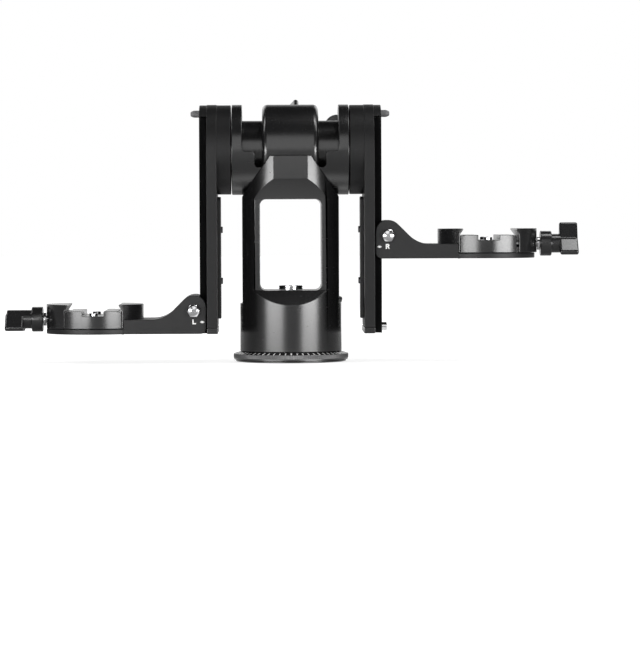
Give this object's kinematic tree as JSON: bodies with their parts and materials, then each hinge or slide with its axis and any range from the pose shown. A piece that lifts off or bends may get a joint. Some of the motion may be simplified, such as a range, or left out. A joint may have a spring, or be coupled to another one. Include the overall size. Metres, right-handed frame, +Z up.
{
  "type": "gimbal tripod head",
  "caption": "Gimbal tripod head: a panning column with a window carries two tilting side arms, each with a sliding platform and a quick-release dovetail clamp.",
  "frame": {"origin": "centre of the underside of the base plate, on the pan axis", "axes": "+Z up along the pan axis, X along the tilt axis with the left platform at -X, the front of the head looks along -Y"},
  "size_m": [0.3895, 0.0989, 0.1798],
  "materials": {
    "black_body": "satin black anodised, turned",
    "black_arm": "matte black anodised, bead blasted",
    "black_grip": "semi-gloss black anodised",
    "steel": "bright turned steel",
    "brass": "turned brass",
    "vial": "clear pale green"
  },
  "bodies": {
    "base": {"base_plate": "black_body", "thread_insert": "steel", "dial_ring": "black_grip", "pan_bearing": "steel", "pan_retainer": "steel", "pan_screw": "steel"},
    "column": {"column": "black_body", "pan_brake_pad": "brass", "floor_plug": "black_body", "level_housing": "steel", "level_vial": "vial", "drag_block": "black_body", "neck_bush_left": "black_body", "neck_bush_right": "black_body", "tilt_bearing_left": "steel", "tilt_bearing_right": "steel"},
    "pan_lock": {"pan_lock_knob": "black_grip"},
    "drag": {"drag_knob": "black_grip"},
    "tilt_lock": {"tilt_lock_lever": "black_grip"},
    "arms": {"tilt_shaft": "steel", "arm_left": "black_arm", "arm_right": "black_arm", "arm_end_left": "black_body", "arm_end_right": "black_body", "arm_strip_left": "black_arm", "arm_strip_right": "black_arm", "strip_screw_left_lower": "steel", "strip_screw_left_upper": "steel", "strip_screw_right_lower": "steel", "strip_screw_right_upper": "steel", "rail_left": "black_arm", "rail_right": "black_arm", "stop_screw_left": "steel", "stop_screw_right": "steel", "index_pin_left": "steel", "index_pin_right": "steel"},
    "carriage_left": {"platform_left": "black_arm", "platform_bolt_left": "steel", "clamp_body_left": "black_body", "fixed_jaw_left": "black_grip", "guide_pin_left_front": "steel", "guide_pin_left_rear": "steel", "mount_screw_left_front": "steel", "mount_screw_left_rear": "steel"},
    "carriage_right": {"platform_right": "black_arm", "platform_bolt_right": "steel", "clamp_body_right": "black_body", "fixed_jaw_right": "black_grip", "guide_pin_right_front": "steel", "guide_pin_right_rear": "steel", "mount_screw_right_front": "steel", "mount_screw_right_rear": "steel"},
    "carriage_knob_left": {"platform_knob_left": "black_grip"},
    "carriage_knob_right": {"platform_knob_right": "black_grip"},
    "jaw_left": {"moving_jaw_left": "black_grip"},
    "jaw_right": {"moving_jaw_right": "black_grip"},
    "jaw_knob_left": {"clamp_screw_left": "steel", "clamp_knob_left": "black_grip"},
    "jaw_knob_right": {"clamp_screw_right": "steel", "clamp_knob_right": "black_grip"}
  },
  "joints": [
    {"name": "pan", "type": "hinge", "parent": "base", "child": "column", "pos_m": [0, 0, 0.0065], "axis": [0, 0, 1], "continuous": true},
    {"name": "pan_lock_turn", "type": "hinge", "parent": "column", "child": "pan_lock", "pos_m": [0.01634, 0.03073, 0.0315], "axis": [0.4695, 0.8829, 0], "range_deg": [0, 540]},
    {"name": "drag_turn", "type": "hinge", "parent": "column", "child": "drag", "pos_m": [0, 0.028, 0.15686], "axis": [0, 0.9063, 0.4226], "range_deg": [-180, 180]},
    {"name": "tilt_lock_turn", "type": "hinge", "parent": "column", "child": "tilt_lock", "pos_m": [0.0361, 0.0309, 0.15], "axis": [0, 1, 0], "range_deg": [-15, 30]},
    {"name": "tilt", "type": "hinge", "parent": "column", "child": "arms", "pos_m": [0, 0, 0.1438], "axis": [1, 0, 0], "continuous": true},
    {"name": "height_left", "type": "slide", "parent": "arms", "child": "carriage_left", "axis": [0, 0, 1], "range_m": [0, 0.1197]},
    {"name": "height_right", "type": "slide", "parent": "arms", "child": "carriage_right", "axis": [0, 0, 1], "range_m": [-0.0502, 0.0695]},
    {"name": "height_lock_left", "type": "hinge", "parent": "carriage_left", "child": "carriage_knob_left", "pos_m": [-0.0656, 0.0267, 0.0352], "axis": [0, 1, 0], "range_deg": [0, 540]},
    {"name": "height_lock_right", "type": "hinge", "parent": "carriage_right", "child": "carriage_knob_right", "pos_m": [0.0656, 0.0267, 0.0854], "axis": [0, 1, 0], "range_deg": [0, 540]},
    {"name": "jaw_slide_left", "type": "slide", "parent": "carriage_left", "child": "jaw_left", "axis": [-1, 0, 0], "range_m": [0, 0.005]},
    {"name": "jaw_slide_right", "type": "slide", "parent": "carriage_right", "child": "jaw_right", "axis": [1, 0, 0], "range_m": [-0.0015, 0.0035]},
    {"name": "clamp_turn_left", "type": "hinge", "parent": "jaw_left", "child": "jaw_knob_left", "pos_m": [-0.1662, 0, 0.0293], "axis": [-1, 0, 0], "range_deg": [-2, 1442]},
    {"name": "clamp_turn_right", "type": "hinge", "parent": "jaw_right", "child": "jaw_knob_right", "pos_m": [0.1677, 0, 0.0795], "axis": [1, 0, 0], "range_deg": [-434, 1010]}
  ],
  "couplings": [
    {"joint": "clamp_turn_left", "follows": "jaw_slide_left", "rad_per_m": 5026.5},
    {"joint": "clamp_turn_right", "follows": "jaw_slide_right", "rad_per_m": 5026.5}
  ]
}
